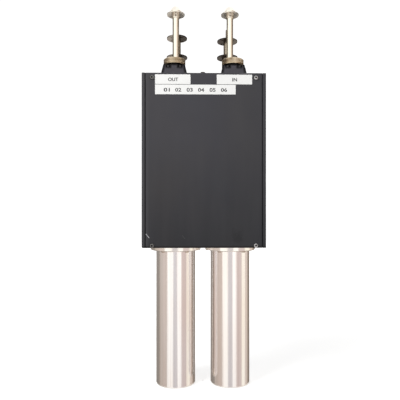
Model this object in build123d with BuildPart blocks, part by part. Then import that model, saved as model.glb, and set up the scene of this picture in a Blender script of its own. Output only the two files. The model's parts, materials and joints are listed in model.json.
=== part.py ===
from build123d import *
import os
from math import atan, cos, degrees, radians, sin, tan

# Twin-cavity band-pass filter that stands on the ends of its two cavity tubes.
# Millimetres, +Z up, +X to the right and +Y away from the front cover. The origin is on the
# floor, midway between the two cavities. The OUT port is on the left, the IN port on the right.

# Overall layout
box_depth = 118.0
box_height = 219.0
tube_drop = 190.0
flange_spacing = 5.8
side_room = 8.8
ports = {"out": -1, "in": 1}

# Clearances
fixed_clearance = 0.05
running_clearance = 0.06
screw_clearance = 0.1
body_gap = 0.3

# Box
side_panel_thickness = 4.5
cover_thickness = 2.0
cover_gap = 0.5
seam_chamfer = 1.2
cover_edge_break = 0.4
worn_corner_radius = 2.0
top_plate_thickness = 12.0
bottom_plate_thickness = 6.0

# Label tape, stuck on a little off the middle of each port
label_thickness = 0.15
label_height = 12.1
port_label_length = 44.2
port_label_shifts = {"out": -1.5, "in": 0.6}
channel_label_length = 100.7
label_top_margin = 2.2
label_spacing = 0.6

# Screws of the box
hex_sides = 6
m3_radius = 1.5
m4_radius = 2.0
cover_screw_inset = 7.8
cover_screw_length = 8.0
button_head_radius = 2.85
button_head_height = 1.65
button_flat_radius = 1.57
button_socket_flats = 2.0
socket_depth = 1.0
side_screw_y = 30.0
side_screw_length = 12.0
side_screw_head_radius = 4.0
side_socket_flats = 2.5

# Cavity tube, its flange and its end cap
tube_radius = 27.0
tube_wall = 2.0
flange_width = 7.6
flange_thickness = 8.0
flange_screw_offset = 4.2
flange_screw_count = 6
flange_screw_length = 13.0
flange_edge_break = 0.8
end_cap_inset = 1.0
end_cap_thickness = 6.0
end_cap_rim = 5.0
end_cap_recess_depth = 2.0

# Inner conductor and the tuning plunger that slides in it
conductor_radius = 10.0
conductor_length = 247.0
conductor_flange_width = 6.0
conductor_flange_thickness = 4.0
conductor_slot_width = 0.8
conductor_slot_length = 18.0
conductor_slot_count = 6
plunger_radius = 6.8
plunger_length = 100.0
plunger_reach = 35.0
plunger_socket_depth = 10.0

# Tuning rod and the bush that clamps it
rod_radius = 4.5
rod_height = 104.0
bush_wall = 3.5
bush_flange_width = 4.0
bush_flange_thickness = 3.0
bush_thread_length = 8.0
bush_seat_depth = 10.0
collet_length = 4.0
collet_tip_wall = 1.7
collet_slot_width = 0.8
collet_slot_length = 9.0
rod_nut_flats = 22.0
rod_nut_lip = 2.4
nut_corner_angle = 30.0
rod_edge_break = 0.8

# Knob disc and cap nut on the rod
knob_disc_drop = 5.7
knob_disc_thickness = 1.2
knob_disc_radius = 12.3
knob_hub_wall = 0.9
knob_hub_length = 4.4
set_screw_radius = 1.25
cap_radius = 7.3
cap_end_thickness = 5.0

# Coaxial connector, whose base has a scoop in each corner, clear of its collar
base_front_margin = 0.5
base_spread = 2.8
base_height = 11.5
base_corner_radius = 1.5
scoop_radius = 3.8
scoop_depth = 3.5
scoop_distance = 14.04
scoop_angle = 57.2
scoop_edge = 1.7
collar_wall = 1.2
collar_height = 2.5
neck_radius = 9.0
neck_wall = 1.0
ring_radius = 14.0
ring_height = 7.0
ring_wall = 2.7
ring_cup_depth = 6.5
ring_edge_break = 0.6
ring_thread_relief = 0.5
connector_screw_length = 16.0
connector_screw_head_radius = 2.5
connector_screw_head_height = 2.6
insulator_recess = 0.5
insulator_spigot_radius = 5.0
contact_radius = 3.5
contact_bore_radius = 2.2
contact_bore_depth = 8.0
contact_recess = 5.1
contact_slot_width = 0.5
contact_slot_length = 6.0
contact_pin_radius = 1.5
contact_pin_drop = 6.0
contact_shoulder_height = 2.0

# Loop that couples the connector to the cavity
loop_wire_radius = 1.25
loop_bend_radius = 5.0
loop_first_drop = 13.0
loop_height = 43.0
loop_conductor_gap = 6.0
loop_window_width = 8.0
loop_window_height = 10.0

# Rear fine tuner
fine_inset = 15.0
sleeve_wall = 2.4
sleeve_flange_width = 3.0
sleeve_flange_thickness = 3.0
sleeve_height = 51.7
sleeve_neck_wall = 1.4
sleeve_neck_length = 4.3
lock_disc_radius = 15.4
lock_disc_thickness = 1.6
lock_disc_hole_radius = 2.4
fine_rod_radius = 5.6
fine_rod_stop = 4.5
fine_rod_tail = 8.0
fine_stud_radius = 2.25
fine_stud_length = 18.0
fine_disc_radius = 15.0
fine_disc_thickness = 1.6
fine_disc_hub_radius = 4.6
fine_disc_hub_height = 3.4
fine_disc_hole_radius = 2.0
fine_disc_hole_circle = 10.2
disc_hole_count = 4
fine_settings = {"out": 0.0, "in": -4.0}
fine_travel_down = 20.0
fine_travel_up = 10.0

# Arm and vane of the fine tuner
arm_radius = 2.0
arm_drop = 45.0
arm_slot_margin = 1.0
vane_gap = 4.0
vane_thickness = 1.5
vane_height = 24.0
vane_half_angle = 30.0

# Coupling between the cavities
link_drop = 97.0
link_radius = 2.0
paddle_radius = 6.0
paddle_thickness = 1.5
paddle_gap = 4.5
link_bush_radius = 5.0
link_bush_flange_radius = 7.0
link_bush_flange_thickness = 2.0
link_bush_inset = 0.1
coupling_screw_radius = 3.0
coupling_screw_rise = 12.8
coupling_screw_gap = 6.0
coupling_slot_width = 1.0
coupling_slot_depth = 1.6
coupling_nut_flats = 10.0
coupling_nut_height = 5.0

# Plan of the box and its cavities
tube_bore_radius = tube_radius - tube_wall
flange_radius = tube_radius + flange_width
flange_screw_circle = tube_radius + flange_screw_offset
port_x = flange_radius + flange_spacing / 2
inner_half_width = port_x + tube_radius + side_room
box_half_width = inner_half_width + side_panel_thickness
cover_half_width = inner_half_width - cover_gap
cover_screw_x = cover_half_width - cover_screw_inset
half_depth = box_depth / 2
plate_half_depth = half_depth - cover_thickness
fine_y = half_depth - fine_inset

# Plan of the connector
collar_radius = neck_radius + collar_wall
neck_bore_radius = neck_radius - neck_wall
ring_cup_radius = ring_radius - ring_wall
scoop_x = scoop_distance * cos(radians(scoop_angle))
scoop_y = scoop_distance * sin(radians(scoop_angle))
base_top_width = 2 * (scoop_y + scoop_edge)
base_width = base_top_width + 2 * base_spread
connector_y = base_width / 2 + base_front_margin - half_depth

# Radii that follow from the rods and the conductor
bush_radius = rod_radius + bush_wall
bush_flange_radius = bush_radius + bush_flange_width
collet_tip_radius = rod_radius + collet_tip_wall
knob_hub_radius = rod_radius + knob_hub_wall
sleeve_radius = fine_rod_radius + sleeve_wall
sleeve_flange_radius = sleeve_radius + sleeve_flange_width
sleeve_neck_radius = fine_rod_radius + sleeve_neck_wall
lock_disc_hole_circle = (sleeve_neck_radius + lock_disc_radius) / 2
conductor_bore_radius = plunger_radius + running_clearance
conductor_flange_radius = conductor_radius + conductor_flange_width
vane_inner_radius = conductor_radius + vane_gap

# Heights that follow from the sizes above
box_top = tube_drop + box_height
top_plate_bottom = box_top - top_plate_thickness
top_plate_middle = box_top - top_plate_thickness / 2
bottom_plate_middle = tube_drop + bottom_plate_thickness / 2
conductor_bottom = top_plate_bottom - conductor_length
arm_height = top_plate_bottom - arm_drop
link_height = top_plate_bottom - link_drop
plunger_bottom = conductor_bottom - plunger_reach
plunger_top = plunger_bottom + plunger_length
bush_flange_top = box_top + bush_flange_thickness
collet_bottom = bush_flange_top + bush_thread_length
collet_top = collet_bottom + collet_length
rod_top = box_top + rod_height
cap_top = rod_top + cap_end_thickness
knob_disc_top = rod_top - knob_disc_drop
knob_disc_bottom = knob_disc_top - knob_disc_thickness
base_top = box_top + base_height
ring_bottom = base_top + collar_height
ring_top = ring_bottom + ring_height
cup_floor = ring_top - ring_cup_depth
insulator_top = cup_floor - insulator_recess
contact_top = ring_top - contact_recess
contact_bottom = top_plate_bottom - contact_pin_drop
contact_shoulder = box_top + contact_shoulder_height
loop_entry_height = contact_bottom - loop_first_drop
loop_low_height = loop_entry_height - loop_height
loop_inner_y = -(conductor_radius + loop_conductor_gap)
sleeve_top = box_top + sleeve_height
sleeve_neck_top = sleeve_top + sleeve_neck_length
lock_disc_bottom = sleeve_top + body_gap
fine_rod_top = sleeve_neck_top + fine_travel_down + fine_rod_stop
fine_rod_bottom = arm_height - fine_rod_tail
paddle_face_x = port_x - conductor_radius - paddle_gap
coupling_nut_bottom = box_top + body_gap
coupling_nut_top = coupling_nut_bottom + coupling_nut_height
coupling_screw_top = coupling_nut_top + coupling_screw_rise
coupling_screw_bottom = link_height + coupling_screw_gap


def save(piece, name):
    """Label a finished piece and write its file."""
    piece.part.label = name
    export_step(piece.part, f"parts/{name}.step")


def half_section(x=0, y=0, lift=0):
    """Upright plane of a turned piece: local x is its radius, local y its height."""
    return Plane(origin=(x, y, lift), x_dir=(1, 0, 0), z_dir=(0, -1, 0))


def upright(x=0, y=0):
    """Vertical axis through x, y."""
    return Axis((x, y, 0), (0, 0, 1))


def button_head_screw(seat, length, socket_flats=button_socket_flats):
    """Screw whose head stands on the seat plane, with a hex socket and a plain shank."""
    with BuildPart() as screw:
        with BuildSketch(Plane.XZ):
            with BuildLine():
                rim = Polyline(
                    (0, button_head_height), (0, -length), (m3_radius, -length),
                    (m3_radius, 0), (button_head_radius, 0),
                )
                crown = (button_flat_radius, button_head_height)
                TangentArc(rim @ 1, crown, tangent=(0, 1))
                Line(crown, rim @ 0)
            make_face()
        revolve(axis=Axis.Z)
        with BuildSketch(Plane.XY.offset(button_head_height)):
            RegularPolygon(socket_flats / 2, hex_sides, major_radius=False)
        extrude(amount=-socket_depth, mode=Mode.SUBTRACT)
    return seat.location * screw.part


def cap_head_screw(seat, length):
    """Screw with a plain round head and a hex socket, standing on the seat plane."""
    with BuildPart() as screw:
        with BuildSketch(Plane.XY.offset(-length)):
            Circle(m3_radius)
        extrude(amount=length)
        with BuildSketch(Plane.XY):
            Circle(connector_screw_head_radius)
        extrude(amount=connector_screw_head_height)
        with BuildSketch(Plane.XY.offset(connector_screw_head_height)):
            RegularPolygon(button_socket_flats / 2, hex_sides, major_radius=False)
        extrude(amount=-socket_depth, mode=Mode.SUBTRACT)
    return seat.location * screw.part


def countersunk_screw(seat):
    """Flush screw: the top of its head lies on the seat plane."""
    with BuildPart() as screw:
        with BuildSketch(Plane.XZ):
            with BuildLine():
                Polyline(
                    (0, 0), (side_screw_head_radius, 0),
                    (m4_radius, m4_radius - side_screw_head_radius),
                    (m4_radius, -side_screw_length), (0, -side_screw_length), close=True,
                )
            make_face()
        revolve(axis=Axis.Z)
        with BuildSketch(Plane.XY):
            RegularPolygon(side_socket_flats / 2, hex_sides, major_radius=False)
        extrude(amount=-socket_depth, mode=Mode.SUBTRACT)
    return seat.location * screw.part


def cover_screw_planes(side):
    """Seats of a cover's four screws; side is -1 at the front and 1 at the rear."""
    return [
        Plane(origin=(x, side * half_depth, z), x_dir=(1, 0, 0), z_dir=(0, side, 0))
        for x in (-cover_screw_x, cover_screw_x)
        for z in (bottom_plate_middle, top_plate_middle)
    ]


def side_screw_planes(side):
    """Seats of a side panel's four screws; side is -1 at the left and 1 at the right."""
    return [
        Plane(origin=(side * box_half_width, y, z), x_dir=(0, 1, 0), z_dir=(side, 0, 0))
        for y in (-side_screw_y, side_screw_y)
        for z in (bottom_plate_middle, top_plate_middle)
    ]


def flange_screw_planes(x):
    """Seats of a tube flange's screws, whose heads hang below the flange."""
    seat_height = tube_drop - flange_thickness
    circle = PolarLocations(flange_screw_circle, flange_screw_count)
    return [
        Plane(origin=(x + place.position.X, place.position.Y, seat_height), z_dir=(0, 0, -1))
        for place in circle.local_locations
    ]


def connector_screw_planes(x):
    """Seats of a connector base's four screws, on the floors of its scoops."""
    inset = scoop_radius - connector_screw_head_radius - body_gap
    return [
        Plane.XY.move(Location((x + dx, connector_y + dy, base_top - scoop_depth)))
        for dx in (-scoop_x, scoop_x)
        for dy in (inset - scoop_y, scoop_y - inset)
    ]


def make_side_panel(name, side):
    """Side plate, flush with both covers, with a chamfer along each cover seam.

    The left one's lower edge is worn round.
    """
    with BuildPart() as panel:
        with BuildSketch(Plane.XY.offset(tube_drop)):
            with Locations((side * (inner_half_width + side_panel_thickness / 2), 0)):
                Rectangle(side_panel_thickness, box_depth)
        extrude(amount=box_height)
        uprights = panel.edges().filter_by(Axis.Z).group_by(Axis.X)
        chamfer(uprights[0] if side > 0 else uprights[-1], length=seam_chamfer)
        if side < 0:
            lower_edges = panel.edges().filter_by(Axis.Y).group_by(Axis.Z)[0]
            fillet(lower_edges.sort_by(Axis.X)[0], radius=worn_corner_radius)
        with Locations(*side_screw_planes(side)):
            CounterSinkHole(
                m4_radius + screw_clearance, side_screw_head_radius + screw_clearance,
                depth=side_panel_thickness, counter_sink_angle=90,
            )
    save(panel, name)


def make_side_panel_screws():
    """Countersunk screws of both side panels."""
    with BuildPart() as screws:
        for side in (-1, 1):
            for seat in side_screw_planes(side):
                add(countersunk_screw(seat))
    save(screws, "side_panel_screws")


def make_cover(name, side):
    """Cover sheet over the edges of both plates, with softened upright edges."""
    with BuildPart() as cover:
        with BuildSketch(Plane.XY.offset(tube_drop)):
            with Locations((0, side * (half_depth - cover_thickness / 2))):
                Rectangle(2 * cover_half_width, cover_thickness)
        extrude(amount=box_height)
        outer_edges = cover.faces().filter_by(Axis.Y).sort_by(Axis.Y)[0 if side < 0 else -1].edges()
        chamfer(outer_edges, length=cover_edge_break)
        with Locations(*cover_screw_planes(side)):
            Hole(m3_radius + screw_clearance, depth=cover_thickness)
    save(cover, name)


def make_cover_screws(name, side):
    """Button-head screws in the corners of a cover."""
    with BuildPart() as screws:
        for seat in cover_screw_planes(side):
            add(button_head_screw(seat, cover_screw_length))
    save(screws, name)


def drill_plate_edges():
    """Tapped holes in a plate's edges for the cover and side panel screws."""
    depth = cover_screw_length + screw_clearance
    for side in (-1, 1):
        with Locations(*cover_screw_planes(side)):
            Hole(m3_radius + screw_clearance, depth=depth)
        with Locations(*side_screw_planes(side)):
            Hole(m4_radius + screw_clearance, depth=side_screw_length + screw_clearance)


def make_top_plate():
    """Thick plate that carries the connectors, the tuners and both cavities."""
    with BuildPart() as plate:
        with BuildSketch(Plane.XY.offset(top_plate_bottom)):
            Rectangle(2 * inner_half_width, 2 * plate_half_depth)
        extrude(amount=top_plate_thickness)
        drill_plate_edges()
        for side in ports.values():
            with Locations((side * port_x, 0, box_top)):
                Hole(bush_radius + fixed_clearance)
            with Locations((side * port_x, connector_y, box_top)):
                Hole(insulator_spigot_radius + fixed_clearance)
            with Locations((side * port_x, fine_y, box_top)):
                Hole(sleeve_radius + fixed_clearance)
            with Locations(*connector_screw_planes(side * port_x)):
                Hole(m3_radius + screw_clearance, depth=connector_screw_length + screw_clearance)
        with Locations((0, 0, box_top)):
            Hole(coupling_screw_radius + running_clearance)
    save(plate, "top_plate")


def make_bottom_plate():
    """Plate with the two holes that the cavity tubes hang through."""
    with BuildPart() as plate:
        with BuildSketch(Plane.XY.offset(tube_drop)):
            Rectangle(2 * inner_half_width, 2 * plate_half_depth)
        extrude(amount=bottom_plate_thickness)
        drill_plate_edges()
        with Locations((-port_x, 0, tube_drop), (port_x, 0, tube_drop)):
            Hole(tube_radius + fixed_clearance)
        for side in ports.values():
            with Locations(*flange_screw_planes(side * port_x)):
                Hole(m3_radius + screw_clearance, depth=flange_screw_length + screw_clearance)
    save(plate, "bottom_plate")


def make_label_tapes():
    """Three strips of tape: one under each port and a long one below the left strip."""
    first_row = box_top - label_top_margin - label_height / 2
    second_row = first_row - label_height - label_spacing
    out_label_left = port_label_shifts["out"] - port_x - port_label_length / 2
    with BuildPart() as tapes:
        with BuildSketch(Plane.XZ.offset(half_depth)):
            for port, side in ports.items():
                with Locations((side * port_x + port_label_shifts[port], first_row)):
                    Rectangle(port_label_length, label_height)
            with Locations((out_label_left + channel_label_length / 2, second_row)):
                Rectangle(channel_label_length, label_height)
        extrude(amount=label_thickness)
    save(tapes, "label_tapes")


def make_cavity_tube(port, side):
    """Cavity wall, with windows for the loop, the vane arm and the link."""
    x = side * port_x
    slot_length = fine_travel_down + fine_travel_up + 2 * (arm_radius + arm_slot_margin)
    slot_middle = arm_height + (fine_travel_up - fine_travel_down) / 2
    with BuildPart() as tube:
        with BuildSketch():
            with Locations((x, 0)):
                Circle(tube_radius)
                Circle(tube_bore_radius, mode=Mode.SUBTRACT)
        extrude(amount=top_plate_bottom)
        with BuildSketch(Plane.XZ):
            with Locations((x, loop_entry_height)):
                Rectangle(loop_window_width, loop_window_height)
            with Locations((x, loop_low_height)):
                Circle(loop_wire_radius + fixed_clearance)
        extrude(amount=tube_radius, mode=Mode.SUBTRACT)
        with BuildSketch(Plane.XZ):
            with Locations((x, slot_middle)):
                SlotOverall(slot_length, 2 * (arm_radius + arm_slot_margin), rotation=90)
        extrude(amount=-tube_radius, mode=Mode.SUBTRACT)
        with BuildSketch(Plane.YZ):
            with Locations((0, link_height)):
                Circle(link_bush_radius + fixed_clearance)
        extrude(amount=x, mode=Mode.SUBTRACT)
    save(tube, f"cavity_tube_{port}")


def make_tube_flange(port, side):
    """Ring that holds the tube under the box."""
    x = side * port_x
    with BuildPart() as flange:
        with BuildSketch(Plane.XY.offset(tube_drop - flange_thickness)):
            with Locations((x, 0)):
                Circle(flange_radius)
        extrude(amount=flange_thickness)
        chamfer(flange.edges().filter_by(GeomType.CIRCLE), length=flange_edge_break)
        with Locations((x, 0, tube_drop)):
            Hole(tube_radius + fixed_clearance)
        with Locations(*flange_screw_planes(x)):
            Hole(m3_radius + screw_clearance)
    save(flange, f"tube_flange_{port}")


def make_flange_screws(port, side):
    """Screws from below through the flange into the bottom plate."""
    with BuildPart() as screws:
        for seat in flange_screw_planes(side * port_x):
            add(button_head_screw(seat, flange_screw_length))
    save(screws, f"flange_screws_{port}")


def make_tube_end_cap(port, side):
    """Closing plate, set a little into the foot of the tube."""
    x = side * port_x
    with BuildPart() as cap:
        with BuildSketch(Plane.XY.offset(end_cap_inset)):
            with Locations((x, 0)):
                Circle(tube_bore_radius - fixed_clearance)
        extrude(amount=end_cap_thickness)
        with BuildSketch(Plane.XY.offset(end_cap_inset)):
            with Locations((x, 0)):
                Circle(tube_bore_radius - end_cap_rim)
        extrude(amount=end_cap_recess_depth, mode=Mode.SUBTRACT)
    save(cap, f"tube_end_cap_{port}")


def make_inner_conductor(port, side):
    """Middle conductor, flanged against the top plate and slotted at its open end."""
    x = side * port_x
    flange_bottom = top_plate_bottom - conductor_flange_thickness
    seat_bottom = top_plate_bottom - bush_seat_depth
    seat_radius = bush_radius + fixed_clearance
    with BuildPart() as conductor:
        with BuildSketch(half_section(x)):
            with BuildLine():
                Polyline(
                    (conductor_bore_radius, conductor_bottom), (conductor_radius, conductor_bottom),
                    (conductor_radius, flange_bottom), (conductor_flange_radius, flange_bottom),
                    (conductor_flange_radius, top_plate_bottom), (seat_radius, top_plate_bottom),
                    (seat_radius, seat_bottom), (conductor_bore_radius, seat_bottom), close=True,
                )
            make_face()
        revolve(axis=upright(x))
        with BuildSketch(Plane.XY.offset(conductor_bottom)):
            with Locations((x, 0)):
                with PolarLocations(0, conductor_slot_count // 2, angular_range=180):
                    Rectangle(2 * conductor_flange_radius, conductor_slot_width)
        extrude(amount=conductor_slot_length, mode=Mode.SUBTRACT)
    save(conductor, f"inner_conductor_{port}")


def make_plunger(port, side):
    """Round-nosed tuning plunger with a socket for the rod."""
    x = side * port_x
    socket_radius = rod_radius + fixed_clearance
    socket_bottom = plunger_top - plunger_socket_depth
    nose_centre = plunger_bottom + plunger_radius
    with BuildPart() as plunger:
        with BuildSketch(half_section(x)):
            with BuildLine():
                CenterArc((0, nose_centre), plunger_radius, -90, 90)
                Polyline(
                    (plunger_radius, nose_centre), (plunger_radius, plunger_top),
                    (socket_radius, plunger_top), (socket_radius, socket_bottom),
                    (0, socket_bottom), (0, plunger_bottom),
                )
            make_face()
        revolve(axis=upright(x))
    save(plunger, f"plunger_{port}")


def make_tuning_rod(port, side):
    """Long rod from the plunger up into the cap nut."""
    rod_bottom = plunger_top - plunger_socket_depth
    with BuildPart() as rod:
        with BuildSketch(Plane.XY.offset(rod_bottom)):
            with Locations((side * port_x, 0)):
                Circle(rod_radius)
        extrude(amount=rod_top - rod_bottom)
        chamfer(rod.edges().group_by(Axis.Z)[-1], length=rod_edge_break)
    save(rod, f"tuning_rod_{port}")


def make_rod_bush(port, side):
    """Flanged bush with a slotted, tapered collet, seated in the conductor."""
    x = side * port_x
    bore = rod_radius + running_clearance
    bush_bottom = top_plate_bottom - bush_seat_depth
    with BuildPart() as bush:
        with BuildSketch(half_section(x)):
            with BuildLine():
                Polyline(
                    (bore, bush_bottom), (bush_radius, bush_bottom), (bush_radius, box_top),
                    (bush_flange_radius, box_top), (bush_flange_radius, bush_flange_top),
                    (bush_radius, bush_flange_top), (bush_radius, collet_bottom),
                    (collet_tip_radius, collet_top), (bore, collet_top), close=True,
                )
            make_face()
        revolve(axis=upright(x))
        with BuildSketch(Plane.XY.offset(collet_top)):
            with Locations((x, 0)):
                with PolarLocations(0, 2, angular_range=180):
                    Rectangle(2 * bush_flange_radius, collet_slot_width)
        extrude(amount=-collet_slot_length, mode=Mode.SUBTRACT)
    save(bush, f"rod_bush_{port}")


def make_rod_lock_nut(port, side):
    """Hex nut with an inner cone that closes the collet on the rod."""
    x = side * port_x
    bore = bush_radius + running_clearance
    nut_bottom = bush_flange_top + body_gap
    cone_bottom = collet_bottom + 2 * body_gap
    cone_top = collet_top + 2 * body_gap
    nut_top = cone_top + rod_nut_lip
    lip_radius = rod_radius + body_gap
    inner_radius = rod_nut_flats / 2
    corner_drop = inner_radius * tan(radians(nut_corner_angle))
    with BuildPart() as nut:
        with BuildSketch(Plane.XY.offset(nut_bottom)):
            with Locations((x, 0)):
                RegularPolygon(inner_radius, hex_sides, major_radius=False)
        extrude(amount=nut_top - nut_bottom)
        with BuildSketch(half_section(x)):
            with BuildLine():
                Polyline(
                    (0, nut_bottom), (bore, nut_bottom), (bore, cone_bottom),
                    (collet_tip_radius + body_gap, cone_top), (lip_radius, cone_top),
                    (lip_radius, nut_top), (0, nut_top), close=True,
                )
            make_face()
        revolve(axis=upright(x), mode=Mode.SUBTRACT)
        with BuildSketch(half_section(x)):
            with BuildLine():
                Polyline(
                    (inner_radius, nut_top), (2 * inner_radius, nut_top - corner_drop),
                    (2 * inner_radius, nut_top), close=True,
                )
            make_face()
        revolve(axis=upright(x), mode=Mode.SUBTRACT)
    save(nut, f"rod_lock_nut_{port}")


def make_knob_disc(port, side):
    """Thin disc with a hub below it and a set screw hole in the hub's front."""
    x = side * port_x
    bore = rod_radius + fixed_clearance
    hub_bottom = knob_disc_bottom - knob_hub_length
    with BuildPart() as disc:
        with BuildSketch(half_section(x)):
            with BuildLine():
                Polyline(
                    (bore, hub_bottom), (knob_hub_radius, hub_bottom),
                    (knob_hub_radius, knob_disc_bottom), (knob_disc_radius, knob_disc_bottom),
                    (knob_disc_radius, knob_disc_top), (bore, knob_disc_top), close=True,
                )
            make_face()
        revolve(axis=upright(x))
        with BuildSketch(Plane.XZ):
            with Locations((x, knob_disc_bottom - knob_hub_length / 2)):
                Circle(set_screw_radius)
        extrude(amount=knob_disc_radius, mode=Mode.SUBTRACT)
    save(disc, f"knob_disc_{port}")


def make_cap_nut(port, side):
    """Domed cap over the end of the rod."""
    x = side * port_x
    bore = rod_radius + fixed_clearance
    skirt_top = cap_top - cap_radius
    bore_top = rod_top + fixed_clearance
    with BuildPart() as cap:
        with BuildSketch(half_section(x)):
            with BuildLine():
                Polyline(
                    (0, cap_top), (0, bore_top), (bore, bore_top), (bore, knob_disc_top),
                    (cap_radius, knob_disc_top), (cap_radius, skirt_top),
                )
                CenterArc((0, skirt_top), cap_radius, 0, 90)
            make_face()
        revolve(axis=upright(x))
    save(cap, f"cap_nut_{port}")


def make_connector_base(port, side):
    """Tapered square base with a scoop at each screw and a collar under the ring."""
    x = side * port_x
    taper = degrees(atan((base_width - base_top_width) / 2 / base_height))
    with BuildPart() as base:
        with BuildSketch(Plane.XY.offset(box_top)):
            with Locations((x, connector_y)):
                RectangleRounded(base_width, base_width, base_corner_radius)
        extrude(amount=base_height, taper=taper)
        with BuildSketch(Plane.XY.offset(base_top)):
            with Locations((x, connector_y)):
                with GridLocations(2 * scoop_x, 2 * scoop_y, 2, 2):
                    Circle(scoop_radius)
        extrude(amount=-scoop_depth, mode=Mode.SUBTRACT)
        with BuildSketch(Plane.XY.offset(base_top)):
            with Locations((x, connector_y)):
                Circle(collar_radius)
        extrude(amount=collar_height)
        with Locations((x, connector_y, ring_bottom)):
            Hole(neck_radius + fixed_clearance)
        with Locations(*connector_screw_planes(x)):
            Hole(m3_radius + screw_clearance)
    save(base, f"connector_base_{port}")


def make_connector_screws(port, side):
    """Screws from the scoops through the base into the top plate."""
    with BuildPart() as screws:
        for seat in connector_screw_planes(side * port_x):
            add(cap_head_screw(seat, connector_screw_length))
    save(screws, f"connector_screws_{port}")


def make_connector_body(port, side):
    """Turned shell: a neck through the base and a broad cup-shaped ring on top."""
    x = side * port_x
    relief_radius = ring_radius - ring_thread_relief
    relief_top = ring_bottom + 2 * ring_edge_break
    with BuildPart() as shell:
        with BuildSketch(half_section(x, connector_y)):
            with BuildLine():
                Polyline(
                    (neck_bore_radius, box_top), (neck_radius, box_top),
                    (neck_radius, ring_bottom), (relief_radius, ring_bottom),
                    (relief_radius, relief_top), (ring_radius, relief_top),
                    (ring_radius, ring_top - ring_edge_break),
                    (ring_radius - ring_edge_break, ring_top), (ring_cup_radius, ring_top),
                    (ring_cup_radius, cup_floor), (neck_bore_radius, cup_floor), close=True,
                )
            make_face()
        revolve(axis=upright(x, connector_y))
    save(shell, f"connector_body_{port}")


def make_connector_insulator(port, side):
    """White insulator in the neck, with a spigot through the top plate."""
    x = side * port_x
    outer = neck_bore_radius - fixed_clearance
    contact_hole = contact_radius + fixed_clearance
    pin_hole = contact_pin_radius + fixed_clearance
    with BuildPart() as insulator:
        with BuildSketch(half_section(x, connector_y)):
            with BuildLine():
                Polyline(
                    (pin_hole, top_plate_bottom), (insulator_spigot_radius, top_plate_bottom),
                    (insulator_spigot_radius, box_top), (outer, box_top), (outer, insulator_top),
                    (contact_hole, insulator_top), (contact_hole, contact_shoulder),
                    (pin_hole, contact_shoulder), close=True,
                )
            make_face()
        revolve(axis=upright(x, connector_y))
    save(insulator, f"connector_insulator_{port}")


def make_connector_contact(port, side):
    """Centre contact: a slotted socket above and a thin pin below."""
    x = side * port_x
    bore_bottom = contact_top - contact_bore_depth
    with BuildPart() as contact:
        with BuildSketch(half_section(x, connector_y)):
            with BuildLine():
                Polyline(
                    (0, contact_bottom), (contact_pin_radius, contact_bottom),
                    (contact_pin_radius, contact_shoulder), (contact_radius, contact_shoulder),
                    (contact_radius, contact_top), (contact_bore_radius, contact_top),
                    (contact_bore_radius, bore_bottom), (0, bore_bottom), close=True,
                )
            make_face()
        revolve(axis=upright(x, connector_y))
        with BuildSketch(Plane.XY.offset(contact_top)):
            with Locations((x, connector_y)):
                with PolarLocations(0, 2, angular_range=180):
                    Rectangle(2 * neck_radius, contact_slot_width)
        extrude(amount=-contact_slot_length, mode=Mode.SUBTRACT)
    save(contact, f"connector_contact_{port}")


def make_coupling_loop(port, side):
    """Wire from the contact's pin, in through the window and down to the cavity wall."""
    x = side * port_x
    wall_y = -(tube_radius - fixed_clearance)
    with BuildPart() as loop:
        with BuildLine() as route:
            FilletPolyline(
                (x, connector_y, contact_bottom), (x, connector_y, loop_entry_height),
                (x, loop_inner_y, loop_entry_height), (x, loop_inner_y, loop_low_height),
                (x, wall_y, loop_low_height), radius=loop_bend_radius,
            )
        with BuildSketch(Plane.XY.offset(contact_bottom)):
            with Locations((x, connector_y)):
                Circle(loop_wire_radius)
        sweep(path=route.wire())
    save(loop, f"coupling_loop_{port}")


def make_fine_sleeve(port, side):
    """Tall flanged guide of the rear rod, with a short neck for the lock disc."""
    x = side * port_x
    bore = fine_rod_radius + running_clearance
    flange_top = box_top + sleeve_flange_thickness
    with BuildPart() as sleeve:
        with BuildSketch(half_section(x, fine_y)):
            with BuildLine():
                Polyline(
                    (bore, top_plate_bottom), (sleeve_radius, top_plate_bottom),
                    (sleeve_radius, box_top), (sleeve_flange_radius, box_top),
                    (sleeve_flange_radius, flange_top), (sleeve_radius, flange_top),
                    (sleeve_radius, sleeve_top), (sleeve_neck_radius, sleeve_top),
                    (sleeve_neck_radius, sleeve_neck_top), (bore, sleeve_neck_top), close=True,
                )
            make_face()
        revolve(axis=upright(x, fine_y))
    save(sleeve, f"fine_sleeve_{port}")


def drill_disc_holes(x, height, circle, hole_radius):
    """Spanner holes round a disc on the rear tuner."""
    with Locations((x, fine_y, height)):
        with PolarLocations(circle, disc_hole_count, start_angle=45):
            Hole(hole_radius)


def make_fine_lock_disc(port, side):
    """Round lock nut on the sleeve's neck."""
    x = side * port_x
    lock_disc_top = lock_disc_bottom + lock_disc_thickness
    with BuildPart() as disc:
        with BuildSketch(Plane.XY.offset(lock_disc_bottom)):
            with Locations((x, fine_y)):
                Circle(lock_disc_radius)
                Circle(sleeve_neck_radius + running_clearance, mode=Mode.SUBTRACT)
        extrude(amount=lock_disc_thickness)
        drill_disc_holes(x, lock_disc_top, lock_disc_hole_circle, lock_disc_hole_radius)
    save(disc, f"fine_lock_disc_{port}")


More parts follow.
